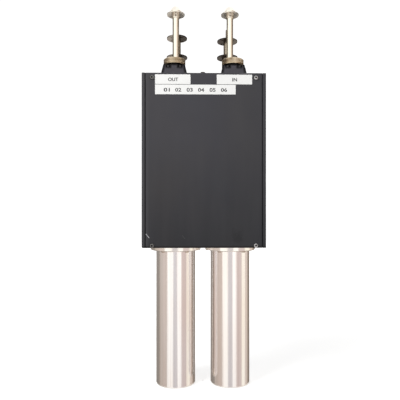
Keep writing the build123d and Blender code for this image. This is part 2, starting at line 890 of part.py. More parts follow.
def make_fine_rod(port, side):
    """Rear rod with a thin stud on top and a cross hole for the vane's arm."""
    x = side * port_x
    setting = fine_settings[port]
    stud_top = fine_rod_top + fine_stud_length
    with BuildPart() as rod:
        with BuildSketch(half_section(x, fine_y, setting)):
            with BuildLine():
                Polyline(
                    (0, fine_rod_bottom), (fine_rod_radius, fine_rod_bottom),
                    (fine_rod_radius, fine_rod_top), (fine_stud_radius, fine_rod_top),
                    (fine_stud_radius, stud_top), (0, stud_top), close=True,
                )
            make_face()
        revolve(axis=upright(x, fine_y))
        with BuildSketch(Plane.XZ):
            with Locations((x, arm_height + setting)):
                Circle(arm_radius + fixed_clearance)
        extrude(amount=-box_depth, mode=Mode.SUBTRACT)
    save(rod, f"fine_rod_{port}")


def make_fine_disc(port, side):
    """Disc with a small hub, seated on the rear rod's shoulder."""
    x = side * port_x
    bore = fine_stud_radius + fixed_clearance
    disc_bottom = fine_rod_top
    disc_top = disc_bottom + fine_disc_thickness
    hub_top = disc_top + fine_disc_hub_height
    setting = fine_settings[port]
    with BuildPart() as disc:
        with BuildSketch(half_section(x, fine_y, setting)):
            with BuildLine():
                Polyline(
                    (bore, disc_bottom), (fine_disc_radius, disc_bottom),
                    (fine_disc_radius, disc_top), (fine_disc_hub_radius, disc_top),
                    (fine_disc_hub_radius, hub_top), (bore, hub_top), close=True,
                )
            make_face()
        revolve(axis=upright(x, fine_y))
        drill_disc_holes(x, disc_top + setting, fine_disc_hole_circle, fine_disc_hole_radius)
    save(disc, f"fine_disc_{port}")


def make_fine_vane(port, side):
    """Curved vane beside the inner conductor, on an arm from the rear rod."""
    x = side * port_x
    height = arm_height + fine_settings[port]
    vane_outer_radius = vane_inner_radius + vane_thickness
    arm_start = vane_inner_radius + vane_thickness / 2
    arm_end = fine_y + fine_rod_radius
    with BuildPart() as vane:
        with BuildSketch(Plane.XY.offset(height - vane_height / 2)):
            with BuildLine():
                start = 90 - vane_half_angle
                inner = CenterArc((x, 0), vane_inner_radius, start, 2 * vane_half_angle)
                outer = CenterArc((x, 0), vane_outer_radius, start, 2 * vane_half_angle)
                Line(inner @ 0, outer @ 0)
                Line(inner @ 1, outer @ 1)
            make_face()
        extrude(amount=vane_height)
        with BuildSketch(Plane.XZ.offset(-arm_start)):
            with Locations((x, height)):
                Circle(arm_radius)
        extrude(amount=arm_start - arm_end)
    save(vane, f"fine_vane_{port}")


def make_coupling_link():
    """Bar between the cavities with a round paddle beside each inner conductor."""
    inner_face = paddle_face_x - paddle_thickness
    with BuildPart() as link:
        with BuildSketch(Plane.XY.offset(link_height)):
            with BuildLine():
                Polyline(
                    (-paddle_face_x, 0), (-paddle_face_x, paddle_radius),
                    (-inner_face, paddle_radius), (-inner_face, link_radius),
                    (inner_face, link_radius), (inner_face, paddle_radius),
                    (paddle_face_x, paddle_radius), (paddle_face_x, 0), close=True,
                )
            make_face()
        revolve(axis=Axis((0, 0, link_height), (1, 0, 0)))
    save(link, "coupling_link")


def make_link_bushes():
    """Insulating bushes that hold the link in the side holes of both tubes."""
    seat = port_x - tube_radius - link_bush_inset
    flange_end = seat - link_bush_flange_thickness
    inner_end = port_x - tube_bore_radius + link_bush_flange_thickness / 2
    bore = link_radius + fixed_clearance
    with BuildPart() as bushes:
        with BuildSketch(Plane.XY.offset(link_height)):
            with BuildLine():
                Polyline(
                    (flange_end, bore), (flange_end, link_bush_flange_radius),
                    (seat, link_bush_flange_radius), (seat, link_bush_radius),
                    (inner_end, link_bush_radius), (inner_end, bore), close=True,
                )
            make_face()
        revolve(axis=Axis((0, 0, link_height), (1, 0, 0)))
        mirror(about=Plane.YZ)
    save(bushes, "link_bushes")


def make_coupling_screw():
    """Long slotted screw that reaches down to the link from the top plate."""
    with BuildPart() as screw:
        with BuildSketch(Plane.XY.offset(coupling_screw_bottom)):
            Circle(coupling_screw_radius)
        extrude(amount=coupling_screw_top - coupling_screw_bottom)
        with BuildSketch(Plane.XY.offset(coupling_screw_top)):
            Rectangle(coupling_nut_flats, coupling_slot_width)
        extrude(amount=-coupling_slot_depth, mode=Mode.SUBTRACT)
    save(screw, "coupling_screw")


def make_coupling_lock_nut():
    """Hex nut that locks the coupling screw on the top plate."""
    with BuildPart() as nut:
        with BuildSketch(Plane.XY.offset(coupling_nut_bottom)):
            RegularPolygon(coupling_nut_flats / 2, hex_sides, major_radius=False)
            Circle(coupling_screw_radius + running_clearance, mode=Mode.SUBTRACT)
        extrude(amount=coupling_nut_height)
    save(nut, "coupling_lock_nut")


os.makedirs("parts", exist_ok=True)
make_side_panel("left_side_panel", -1)
make_side_panel("right_side_panel", 1)
make_side_panel_screws()
make_cover("front_cover", -1)
make_cover("rear_cover", 1)
make_cover_screws("front_cover_screws", -1)
make_cover_screws("rear_cover_screws", 1)
make_top_plate()
make_bottom_plate()
make_label_tapes()
for port_name, port_side in ports.items():
    make_cavity_tube(port_name, port_side)
    make_tube_flange(port_name, port_side)
    make_flange_screws(port_name, port_side)
    make_tube_end_cap(port_name, port_side)
    make_inner_conductor(port_name, port_side)
    make_plunger(port_name, port_side)
    make_tuning_rod(port_name, port_side)
    make_rod_bush(port_name, port_side)
    make_rod_lock_nut(port_name, port_side)
    make_knob_disc(port_name, port_side)
    make_cap_nut(port_name, port_side)
    make_connector_base(port_name, port_side)
    make_connector_screws(port_name, port_side)
    make_connector_body(port_name, port_side)
    make_connector_insulator(port_name, port_side)
    make_connector_contact(port_name, port_side)
    make_coupling_loop(port_name, port_side)
    make_fine_sleeve(port_name, port_side)
    make_fine_lock_disc(port_name, port_side)
    make_fine_rod(port_name, port_side)
    make_fine_disc(port_name, port_side)
    make_fine_vane(port_name, port_side)
make_coupling_link()
make_link_bushes()
make_coupling_screw()
make_coupling_lock_nut()
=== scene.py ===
"""Twin-cavity broadcast filter: camera, studio light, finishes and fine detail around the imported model."""
import json
import math

import bmesh
import bpy
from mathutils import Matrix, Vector


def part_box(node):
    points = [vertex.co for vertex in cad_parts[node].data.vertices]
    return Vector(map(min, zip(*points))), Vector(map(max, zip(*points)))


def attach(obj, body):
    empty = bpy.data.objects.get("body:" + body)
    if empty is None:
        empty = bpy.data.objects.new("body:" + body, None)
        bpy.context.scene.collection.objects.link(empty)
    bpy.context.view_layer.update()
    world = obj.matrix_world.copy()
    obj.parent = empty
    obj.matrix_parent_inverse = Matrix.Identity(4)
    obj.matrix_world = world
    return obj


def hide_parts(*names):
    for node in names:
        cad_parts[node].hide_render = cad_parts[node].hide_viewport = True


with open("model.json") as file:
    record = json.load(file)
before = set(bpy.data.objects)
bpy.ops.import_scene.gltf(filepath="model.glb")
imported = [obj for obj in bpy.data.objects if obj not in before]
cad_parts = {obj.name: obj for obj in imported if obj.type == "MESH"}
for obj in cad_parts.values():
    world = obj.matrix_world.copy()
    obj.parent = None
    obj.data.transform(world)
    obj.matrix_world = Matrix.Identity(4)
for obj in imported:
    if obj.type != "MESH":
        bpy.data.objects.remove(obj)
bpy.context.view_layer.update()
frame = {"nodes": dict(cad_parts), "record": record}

nodes = frame["nodes"]
mm = 0.001
ports = ("out", "in")


def centre_of(node):
    """Middle of a node's box, as x, y and z."""
    return tuple((start + end) / 2 for start, end in zip(*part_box(node)))


# Places taken from the frame
box_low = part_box("left_side_panel")[0]
box_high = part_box("right_side_panel")[1]
cover_left, cover_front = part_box("front_cover")[0][:2]
label_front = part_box("label_tapes")[0][1]
port_x = centre_of("tuning_rod_in")[0]
fine_y = centre_of("fine_disc_in")[1]

# Camera: level, a little left of the filter and turned back towards it
camera_place = Vector((-14.2 * mm, -590 * mm, 250 * mm))
camera_turn = math.radians(-0.993)
camera_lens = 38.25
camera_sensor = 36
camera_near = 10 * mm

# Round room with a pale floor, whose glow changes between two distances from the filter, and
# whose floor and ceiling end in a pinhole in the middle
room_radius = 3.0
room_curve = 0.8
room_height = 2.4
room_sides = 96
room_curve_steps = 12
room_pinhole = 1 * mm
room_white = (0.52, 0.52, 0.52)
floor_glow = 0.60
wall_glow = 0.82
glow_start = 0.25
glow_end = 1.0

# World light, and soft boxes that face the middle of the filter: for each, its azimuth, distance
# from the filter's axis, height, width and power
world_colour = (1.0, 0.995, 0.985, 1)
world_strength = 0.45
light_aim = 0.26
soft_boxes = {
    "key": (-56, 1.1, 1.1, 0.7, 18),
    "fill": (45, 1.3, 0.9, 0.8, 2),
    "back": (180, 1.4, 1.2, 1.0, 12),
}

# Glowing gores round the filter, which only its gloss and bare metal mirror: for each band
# of elevations, the azimuth where each gore begins, 0 in front and 90 on the right, and its colour
gore_radius = 4.0
gore_step = 6
gore_low_strength = 0.86
gore_low_height = -0.45 * gore_radius
gore_full_height = -0.15 * gore_radius
gore_bands = {
    (-88, 6): (
        (-138, (0.34, 0.31, 0.28)),
        (-106, (0.60, 0.53, 0.48)),
        (-80, (0.67, 0.58, 0.53)),
        (-49, (1.18, 1.15, 1.11)),
        (-15, (0.72, 0.69, 0.71)),
        (11, (1.20, 1.18, 1.16)),
        (34, (0.72, 0.62, 0.60)),
        (67, (1.12, 1.06, 0.95)),
        (94, (0.76, 0.65, 0.58)),
        (116, (0.46, 0.38, 0.32)),
        (130, (0.22, 0.18, 0.15)),
        (150, (0.55, 0.50, 0.46)),
        (164, (1.05, 1.03, 1.00)),
        (188, (0.66, 0.63, 0.61)),
        (204, (0.30, 0.27, 0.25)),
    ),
    (6, 32): (
        (-178, (0.12, 0.11, 0.09)),
        (-110, (0.22, 0.20, 0.17)),
        (-84, (0.40, 0.38, 0.33)),
        (-70, (1.25, 1.22, 1.12)),
        (12, (1.10, 1.02, 0.92)),
        (44, (0.60, 0.48, 0.38)),
        (78, (0.18, 0.14, 0.10)),
        (130, (0.10, 0.08, 0.06)),
    ),
    (32, 90): (
        (0, (1.15, 1.13, 1.10)),
        (180, (1.05, 1.03, 1.00)),
    ),
}

# Marks on the front cover, with their places as x and z. A scratch is full within these shares of
# its length and width on either side of its middle, and its reach from its start, in lengths, keeps
# it off the rear cover
smudge_place = (40.6 * mm, 201.3 * mm)
smudge_flatness = 0.6
smudge_ragged = 4 * mm
deep_scratch = ((-72.75 * mm, 207.9 * mm), (-68.0 * mm, 202.3 * mm))
deep_width = 1.0 * mm
faint_scratch = ((-27.2 * mm, 206.0 * mm), (-23.6 * mm, 201.0 * mm))
faint_width = 0.7 * mm
scratch_full_length = 0.4
scratch_full_width = 1 / 6
scratch_reach = 1.5

# Zones of the box's paint. In each pair, here and below, the zone begins at the first number and is
# full at the second. These are heights on the box for painted light that lightens it towards the top,
# x on the box for painted shade that darkens it to the right, distances from the smudge's middle, and
# distances from the left edge and the bottom of the cover, whose front is cover_skin deep, for a
# painted highlight along that edge and painted shade along the bottom
top_light_heights = (185 * mm, 330 * mm)
right_shade_reach = (-10 * mm, 75 * mm)
smudge_reach = (8 * mm, 3 * mm)
edge_sheen_reach = (4.5 * mm, 1.5 * mm)
bottom_shade_reach = (2.7 * mm, 1.5 * mm)
cover_skin = 1.5 * mm

# How far the wear reaches in from the edges of the box
wear_least = 0.2 * mm
wear_most = 1.4 * mm

# Black connector bases: half widths at the foot and the top, and height. Their painted shade is given
# as shares of the way to a corner, and distances from the top and from the middle: painted shade at
# the upright corners and in the scoops, and a painted shadow under the ring at the top
base_foot = 16.3 * mm
base_top = 13.5 * mm
base_height = 11.5 * mm
corner_shade_reach = (0.86, 0.93)
rim_shadow_reach = (-2.0 * mm, -0.8 * mm)
scoop_inner_side = (2.5 * mm, 4.0 * mm)
scoop_outer_side = (12.0 * mm, 10.0 * mm)
scoop_floor = (-6.4 * mm, -4.4 * mm)

# Satin foot of the tubes, and the covers' screws: half width of the head, socket with its painted shade,
# and the side whose screws are brighter with painted light
tube_foot = (1.8 * mm, 1.2 * mm)
cover_screw_head = 2.85 * mm
socket_shade_radii = (1.38 * mm, 1.08 * mm)
screw_light_reach = (-30 * mm, 30 * mm)

# Discs: tint of their gloss, how far their painted reflection wanders, and where it turns from dark to light
disc_edge_tint = (0.7, 0.67, 0.64, 1)
disc_wander = 4 * mm
fine_disc_reflection = (0.0, 9 * mm)
knob_disc_reflection = (-12 * mm, 6 * mm)

# Hubs of the knob discs and their set screws, whose ends and sockets close to a pinhole
hub_radius = 5.4 * mm
hub_edge = (1.1 * hub_radius, 1.03 * hub_radius)
hub_height = 4.4 * mm
rod_radius = 4.5 * mm
set_screw_sides = 36
set_screw_radius = 1.15 * mm
set_screw_break = 0.1 * mm
set_screw_socket = 0.6 * mm
set_screw_corners = 6
set_screw_gap = 0.1 * mm
set_screw_pinhole = 0.01 * mm

# Printing on the label tapes: the word of each port with the x of its middle and its width, and
# the channel numbers from the first to the last. Boldness and half depth are in the letters' own
# units, before they are scaled
ink_thickness = 0.02 * mm
letter_boldness = 0.025
letter_half_depth = 0.5
letter_steps = 5
port_words = (("OUT", -38.5 * mm, 12.6 * mm), ("IN", 38.4 * mm, 5.9 * mm))
port_words_height = 400.5 * mm
port_words_rise = 4.4 * mm
channel_numbers = 6
channel_first = -46.5 * mm
channel_last = 25.0 * mm
channel_height = 387.6 * mm
channel_rise = 4.8 * mm
channel_width = 7.6 * mm

# Levels of points in each pitch of a thread
thread_steps = 14

# Connector rings, with the steepness of the thread's flanks and the flatness of its crest
ring_sides = 144
ring_pitch = 1.5 * mm
ring_thread_depth = 0.45 * mm
ring_relief = 0.5 * mm
ring_edge_break = 0.6 * mm
ring_wall = 2.7 * mm
neck_wall = 1.0 * mm
neck_radius = 9.0 * mm
ring_height = 7.0 * mm
ring_cup_depth = 6.5 * mm
ring_thread_slope = 2.6
ring_thread_crest = 0.15

# Threads of the rear studs and the coupling screw, whose ends are sunk into the plain screw and
# whose roots are lifted off it
screw_thread_sides = 32
screw_thread_depth = 0.25 * mm
screw_thread_sink = 0.2 * mm
screw_thread_lift = 0.02 * mm
stud_radius = 2.25 * mm
stud_pitch = 0.8 * mm
coupling_radius = 3.0 * mm
coupling_pitch = 1.0 * mm
coupling_travel = 3.0 * mm
coupling_gap = 0.1 * mm

# Faces that meet at less than this angle are shaded as one smooth surface
crease_angle = math.radians(32)


def aim_camera():
    """Camera at the photograph's place and angle."""
    camera = bpy.data.objects.new("camera", bpy.data.cameras.new("camera"))
    bpy.context.scene.collection.objects.link(camera)
    camera.location = camera_place
    camera.rotation_euler = (math.radians(90), 0, camera_turn)
    camera.data.lens = camera_lens
    camera.data.sensor_width = camera_sensor
    camera.data.clip_start = camera_near
    bpy.context.scene.camera = camera


def new_material(name, metallic=0.0):
    """Material with a Principled shader, and its node tree and shader."""
    material = bpy.data.materials.new(name)
    material.use_nodes = True
    tree = material.node_tree
    shader = tree.nodes["Principled BSDF"]
    shader.inputs["Metallic"].default_value = metallic
    return material, tree, shader


def object_point(tree):
    """Socket with the point's place in the piece's own frame, in metres."""
    return tree.nodes.new("ShaderNodeTexCoord").outputs["Object"]


def stretched(tree, point, scale):
    """The point scaled along each axis, so that a noise drawn from it is stretched."""
    mapping = tree.nodes.new("ShaderNodeMapping")
    mapping.inputs["Scale"].default_value = scale
    tree.links.new(point, mapping.inputs["Vector"])
    return mapping.outputs["Vector"]


def noise(tree, point, scale, detail):
    """Noise from 0 to 1, whose features are about 1 / scale across."""
    texture = tree.nodes.new("ShaderNodeTexNoise")
    texture.inputs["Scale"].default_value = scale
    texture.inputs["Detail"].default_value = detail
    tree.links.new(point, texture.inputs["Vector"])
    return texture.outputs["Fac"]


def spread(tree, value, low, high, to_low=0.0, to_high=1.0):
    """The value's stretch from low to high, mapped to another stretch."""
    remap = tree.nodes.new("ShaderNodeMapRange")
    for name, number in (("From Min", low), ("From Max", high), ("To Min", to_low), ("To Max", to_high)):
        remap.inputs[name].default_value = number
    tree.links.new(value, remap.inputs["Value"])
    return remap.outputs["Result"]


def clouds(tree, point, scale, detail, low, high, to_low=0.0, to_high=1.0):
    """Cloudy noise, whose stretch from low to high is mapped to another stretch."""
    return spread(tree, noise(tree, point, scale, detail), low, high, to_low, to_high)


def zone(tree, value, origin, reach, share=1.0):
    """Share of a zone, which begins and is full at the two numbers of reach from its origin."""
    begins, full = reach
    return spread(tree, value, origin + begins, origin + full, 0.0, share)


def plug(tree, value, socket):
    """Feed a socket from another one, or set it to a number or a place."""
    if isinstance(value, bpy.types.NodeSocket):
        tree.links.new(value, socket)
    else:
        socket.default_value = value


def math_node(tree, operation, *values):
    """Result of a math node on sockets or numbers."""
    node = tree.nodes.new("ShaderNodeMath")
    node.operation = operation
    for socket, value in zip(node.inputs, values):
        plug(tree, value, socket)
    return node.outputs["Value"]


def vector_node(tree, operation, *values):
    """Result of a vector math node on sockets or places."""
    node = tree.nodes.new("ShaderNodeVectorMath")
    node.operation = operation
    for socket, value in zip(node.inputs, values):
        plug(tree, value, socket)
    return node.outputs["Value" if operation in ("DISTANCE", "DOT_PRODUCT", "LENGTH") else "Vector"]


def axes_of(tree, point):
    """The three numbers of a place."""
    node = tree.nodes.new("ShaderNodeSeparateXYZ")
    tree.links.new(point, node.inputs["Vector"])
    return node.outputs["X"], node.outputs["Y"], node.outputs["Z"]


def blended(tree, share, first, second):
    """Colour from first to second as share goes from 0 to 1; either is a socket or three numbers."""
    mix = tree.nodes.new("ShaderNodeMix")
    mix.data_type = "RGBA"
    tree.links.new(share, mix.inputs["Factor"])
    for name, colour in (("A", first), ("B", second)):
        socket = next(s for s in mix.inputs if s.name == name and s.type == "RGBA")
        plug(tree, (*colour, 1) if isinstance(colour, tuple) else colour, socket)
    return next(s for s in mix.outputs if s.type == "RGBA")


def finish_shader(tree, shader, colour, roughness, height, depth, strength):
    """Colour, roughness and bump of a shader; depth is the bump's in metres, from lowest to highest."""
    plug(tree, colour, shader.inputs["Base Color"])
    plug(tree, roughness, shader.inputs["Roughness"])
    node = tree.nodes.new("ShaderNodeBump")
    node.inputs["Distance"].default_value = depth
    node.inputs["Strength"].default_value = strength
    tree.links.new(height, node.inputs["Height"])
    tree.links.new(node.outputs["Normal"], shader.inputs["Normal"])


def edge_wear(tree, point):
    """Share of wear, which is broken and runs along the outer edges of the box."""
    centre = tuple((low + high) / 2 for low, high in zip(box_low, box_high))
    half = tuple((high - low) / 2 for low, high in zip(box_low, box_high))
    from_centre = vector_node(tree, "ABSOLUTE", vector_node(tree, "SUBTRACT", point, centre))
    across, along, up = axes_of(tree, vector_node(tree, "SUBTRACT", half, from_centre))
    smaller = math_node(tree, "MINIMUM", across, along)
    larger = math_node(tree, "MAXIMUM", across, along)
    to_edge = math_node(tree, "MAXIMUM", smaller, math_node(tree, "MINIMUM", larger, up))
    reach = clouds(tree, point, 130, 4, 0.45, 0.75, wear_least, wear_most)
    edge_strip = math_node(tree, "LESS_THAN", to_edge, reach)
    return math_node(tree, "MULTIPLY", edge_strip, clouds(tree, point, 45, 3, 0.42, 0.6))


def scratch(tree, point, start, end, width):
    """Share of a scratch on the front cover, between two places given as x and z."""
    origin = Vector((start[0], cover_front, start[1]))
    line = Vector((end[0], cover_front, end[1])) - origin
    length = line.length
    line.normalize()
    offset = vector_node(tree, "SUBTRACT", point, tuple(origin))
    along = vector_node(tree, "DOT_PRODUCT", offset, tuple(line))
    across = vector_node(tree, "DOT_PRODUCT", offset, (-line.z, 0, line.x))
    from_middle = math_node(tree, "ABSOLUTE", math_node(tree, "SUBTRACT", along, length / 2))
    inside = spread(tree, from_middle, length / 2, length * scratch_full_length)
    thin = spread(tree, math_node(tree, "ABSOLUTE", across), width / 2, width * scratch_full_width)
    distance = vector_node(tree, "DISTANCE", point, tuple(origin))
    near = math_node(tree, "LESS_THAN", distance, scratch_reach * length)
    return math_node(tree, "MULTIPLY", math_node(tree, "MULTIPLY", inside, thin), near)


def smudge(tree, point):
    """Share of the dark smudge on the front cover, with a ragged outline."""
    place = (smudge_place[0], cover_front, smudge_flatness * smudge_place[1])
    distance = vector_node(tree, "DISTANCE", stretched(tree, point, (1, 1, smudge_flatness)), place)
    wander = clouds(tree, point, 160, 4, 0.3, 0.7, -smudge_ragged, smudge_ragged)
    return zone(tree, math_node(tree, "ADD", distance, wander), 0, smudge_reach, share=0.5)


def box_paint(name):
    """Satin powder coat: mottled, lighter towards the top and darker to the right as painted light and
    shade, with a painted highlight along the cover's left edge and painted shade along its bottom, scuffed
    and scratched.
    """
    material, tree, shader = new_material(name)
    point = object_point(tree)
    across, depth, height = axes_of(tree, point)
    mottle = clouds(tree, stretched(tree, point, (1, 1, 0.5)), 14, 5, 0.35, 0.68)
    lower_tone = blended(tree, mottle, (0.0205, 0.0215, 0.0255), (0.0270, 0.0255, 0.0270))
    veil = blended(tree, mottle, (0.0472, 0.0472, 0.0570), (0.0520, 0.0500, 0.0550))
    # Lighter towards the top: painted light falling from above, from the lower tone to the pale veil
    toned = blended(tree, zone(tree, height, 0, top_light_heights), lower_tone, veil)
    # Darker to the right: painted shade
    right_shaded = blended(tree, zone(tree, across, 0, right_shade_reach, share=0.3), toned, (0.020, 0.021, 0.024))
    streaks = clouds(tree, stretched(tree, point, (1, 1, 0.1)), 70, 4, 0.35, 0.75, 0.0, 0.16)
    streaked = blended(tree, streaks, right_shaded, (0.066, 0.064, 0.070))
    smudged = blended(tree, smudge(tree, point), streaked, (0.010, 0.010, 0.012))
    in_front = math_node(tree, "LESS_THAN", depth, cover_front + cover_skin)
    # Painted highlight along the front cover's left edge
    edge_strip = math_node(tree, "MULTIPLY", in_front, zone(tree, across, cover_left, edge_sheen_reach, share=0.55))
    edge_lit = blended(tree, edge_strip, smudged, (0.064, 0.064, 0.070))
    # Painted shade along the front cover's bottom edge, nearly black
    bottom_shade = math_node(tree, "MULTIPLY", in_front, zone(tree, height, box_low[2], bottom_shade_reach, share=0.95))
    bottom_shaded = blended(tree, bottom_shade, edge_lit, (0.002, 0.002, 0.002))
    worn = math_node(tree, "MULTIPLY", edge_wear(tree, point), 0.55)
    scuffed = blended(tree, worn, bottom_shaded, (0.17, 0.17, 0.175))
    faint = math_node(tree, "MULTIPLY", scratch(tree, point, *faint_scratch, faint_width), 0.07)
    marks = math_node(tree, "MAXIMUM", faint, scratch(tree, point, *deep_scratch, deep_width))
    colour = blended(tree, marks, scuffed, (0.62, 0.62, 0.64))
    roughness = clouds(tree, point, 45, 4, 0.3, 0.7, 0.42, 0.52)
    shader.inputs["Specular IOR Level"].default_value = 0.3
    finish_shader(tree, shader, colour, roughness, noise(tree, point, 1400, 2), 0.03 * mm, 0.5)
    return material


def base_paint(name):
    """Black satin paint, dusty on its faces, with painted shade at its upright corners and in its scoops,
    and a painted shadow under the ring along its top rim.
    """
    material, tree, shader = new_material(name)
    point = object_point(tree)
    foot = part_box("connector_base_in")[0][2]
    top = foot + base_height
    veil = clouds(tree, point, 60, 4, 0.35, 0.7)
    toned = blended(tree, veil, (0.054, 0.052, 0.060), (0.074, 0.070, 0.081))
    mirrored = vector_node(tree, "ABSOLUTE", vector_node(tree, "MULTIPLY", point, (1, 0, 0)))
    level = vector_node(tree, "ADD", mirrored, vector_node(tree, "MULTIPLY", point, (0, 1, 0)))
    offset = vector_node(tree, "SUBTRACT", level, (port_x, centre_of("connector_base_in")[1], 0))
    sideways, along = axes_of(tree, vector_node(tree, "ABSOLUTE", offset))[:2]
    height = axes_of(tree, point)[2]
    # Painted shade at the upright corners and in the scoops, and a painted shadow under the ring at the top
    at_corner = spread(tree, height, foot, top, 2 * base_foot, 2 * base_top)
    cornered = math_node(tree, "DIVIDE", math_node(tree, "ADD", sideways, along), at_corner)
    corner_shade = zone(tree, cornered, 0, corner_shade_reach, share=0.9)
    rim_shadow = zone(tree, height, top, rim_shadow_reach, share=0.9)
    inner = math_node(tree, "MINIMUM", sideways, along)
    between = math_node(tree, "MINIMUM", zone(tree, inner, 0, scoop_inner_side),
                        zone(tree, inner, 0, scoop_outer_side))
    scoop_shade = math_node(tree, "MULTIPLY", between, zone(tree, height, top, scoop_floor, share=0.85))
    shaded = math_node(tree, "MAXIMUM", math_node(tree, "MAXIMUM", corner_shade, rim_shadow), scoop_shade)
    colour = blended(tree, shaded, toned, (0.004, 0.004, 0.005))
    roughness = clouds(tree, point, 90, 3, 0.3, 0.7, 0.34, 0.46)
    shader.inputs["Specular IOR Level"].default_value = 0.1
    finish_shader(tree, shader, colour, roughness, noise(tree, point, 1600, 2), 0.02 * mm, 0.4)
    return material


def bare_metal(name, colour, stain, roughness, grain=(1, 1, 1), grain_scale=600, stained=0.35, marked=0.3):
    """Bare metal with fine tool marks along the grain and patches of tarnish."""
    material, tree, shader = new_material(name, metallic=1.0)
    point = object_point(tree)
    patches = clouds(tree, stretched(tree, point, (1, 1, 0.2)), 50, 4, 0.4, 0.75, 0.0, stained)
    tarnished = blended(tree, patches, colour, stain)
    marks = noise(tree, stretched(tree, point, grain), grain_scale, 3)
    worked = spread(tree, marks, 0.45, 0.8, 0.0, marked)
    duller = tuple(0.85 * part for part in colour)
    smoothest = roughness - 0.05 * marked
    roughest = roughness + 0.1 * marked
    finish_shader(tree, shader, blended(tree, worked, tarnished, duller),
                  spread(tree, marks, 0.3, 0.7, smoothest, roughest), marks, 0.004 * mm, marked)
    return material


def tube_metal(name):
    """Drawn tube: long fine streaks, pink and grey tarnish, and a satin turned foot."""
    material, tree, shader = new_material(name, metallic=1.0)
    point = object_point(tree)
    tint = clouds(tree, stretched(tree, point, (1, 1, 0.12)), 60, 4, 0.35, 0.7)
    drawn = blended(tree, tint, (0.93, 0.91, 0.90), (0.91, 0.84, 0.79))
    streaks = noise(tree, stretched(tree, point, (1, 1, 0.008)), 480, 4)
    dulled = blended(tree, spread(tree, streaks, 0.42, 0.75, 0.0, 0.4), drawn, (0.68, 0.61, 0.58))
    foot = zone(tree, axes_of(tree, point)[2], 0, tube_foot)
    colour = blended(tree, foot, dulled, (0.97, 0.96, 0.94))
    polish = spread(tree, streaks, 0.3, 0.7, 0.12, 0.20)
    roughness = math_node(tree, "MAXIMUM", polish, math_node(tree, "MULTIPLY", foot, 0.55))
    finish_shader(tree, shader, colour, roughness, streaks, 0.004 * mm, 0.3)
    return material


def cover_screw(name):
    """Button-head screws of the covers: dull, with painted shade in their sockets, and brighter on the right
    with painted light.
    """
    material, tree, shader = new_material(name, metallic=1.0)
    point = object_point(tree)
    centre = centre_of("front_cover_screws")
    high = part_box("front_cover_screws")[1]
    axis = (high[0] - centre[0] - cover_screw_head, 0, high[2] - centre[2] - cover_screw_head)
    mirrored = vector_node(tree, "ABSOLUTE", vector_node(tree, "SUBTRACT", point, centre))
    radius = vector_node(tree, "DISTANCE", vector_node(tree, "MULTIPLY", mirrored, (1, 0, 1)), axis)
    # Painted light: the screws on the right are brighter than those on the left
    lit_right = zone(tree, axes_of(tree, point)[0], 0, screw_light_reach)
    lit_head = blended(tree, lit_right, (0.20, 0.20, 0.20), (0.62, 0.62, 0.64))
    grime = clouds(tree, point, 420, 3, 0.42, 0.7, 0.0, 0.6)
    dulled = blended(tree, grime, lit_head, (0.09, 0.09, 0.09))
    # Painted shade fills the sockets, nearly black
    colour = blended(tree, zone(tree, radius, 0, socket_shade_radii), dulled, (0.012, 0.012, 0.012))
    roughness = spread(tree, grime, 0.0, 0.6, 0.26, 0.4)
    finish_shader(tree, shader, colour, roughness, noise(tree, point, 700, 2), 0.006 * mm, 0.4)
    return material


def ring_metal(name):
    """Brass of the connectors: pale and brown clouds with dark tarnish spots."""
    material, tree, shader = new_material(name, metallic=1.0)
    point = object_point(tree)
    cloud = clouds(tree, stretched(tree, point, (1, 1, 0.6)), 75, 4, 0.38, 0.66)
    clouded = blended(tree, cloud, (0.62, 0.53, 0.40), (0.36, 0.27, 0.16))
    spots = clouds(tree, point, 170, 3, 0.54, 0.70, 0.0, 0.7)
    colour = blended(tree, spots, clouded, (0.16, 0.095, 0.045))
    roughness = spread(tree, cloud, 0.0, 1.0, 0.24, 0.38)
    finish_shader(tree, shader, colour, roughness, noise(tree, point, 900, 3), 0.004 * mm, 0.3)
    return material


def disc_metal(name, centre_y, dark, light, reach, hub=None):
    """Turned disc with rings of tool marks round its axis.

    A painted reflection makes it lighter on the side away from the filter's middle. With a hub, whose
    colour is given, the painted reflection makes it lighter on its left side.
    """
    material, tree, shader = new_material(name, metallic=1.0)
    point = object_point(tree)
    mirrored = vector_node(tree, "ABSOLUTE", point)
    level = vector_node(tree, "MULTIPLY", mirrored, (1, 1, 0))
    radius = vector_node(tree, "LENGTH", vector_node(tree, "SUBTRACT", level, (port_x, centre_y, 0)))
    if hub:
        place = axes_of(tree, point)[0]
        axis = math_node(tree, "MULTIPLY", math_node(tree, "SIGN", place), port_x)
        lit_side = math_node(tree, "SUBTRACT", axis, place)
    else:
        lit_side = math_node(tree, "SUBTRACT", axes_of(tree, mirrored)[0], port_x)
    # Painted reflection: lighter on the side away from the filter's middle, or on a hub disc's left side
    wander = clouds(tree, point, 90, 3, 0.35, 0.7, -disc_wander, disc_wander)
    share = zone(tree, math_node(tree, "ADD", lit_side, wander), 0, reach)
    rings = noise(tree, vector_node(tree, "MULTIPLY", (1, 0, 0), radius), 2600, 2)
    ringed = math_node(tree, "MULTIPLY", share, spread(tree, rings, 0.3, 0.7, 0.85, 1.0))
    colour = blended(tree, ringed, dark, light)
    if hub:
        colour = blended(tree, zone(tree, radius, 0, hub_edge), colour, hub)
    roughness = spread(tree, rings, 0.3, 0.7, 0.22, 0.30)
    shader.inputs["Specular Tint"].default_value = disc_edge_tint
    finish_shader(tree, shader, colour, roughness, rings, 0.004 * mm, 0.3)
    return material


def plastic(name, colour, shade, roughness):
    """Moulded plastic with faint mottling."""
    material, tree, shader = new_material(name)
    point = object_point(tree)
    mottled = blended(tree, clouds(tree, point, 120, 4, 0.35, 0.7), colour, shade)
    finish_shader(tree, shader, mottled, roughness, noise(tree, point, 500, 2), 0.01 * mm, 0.4)
    return material


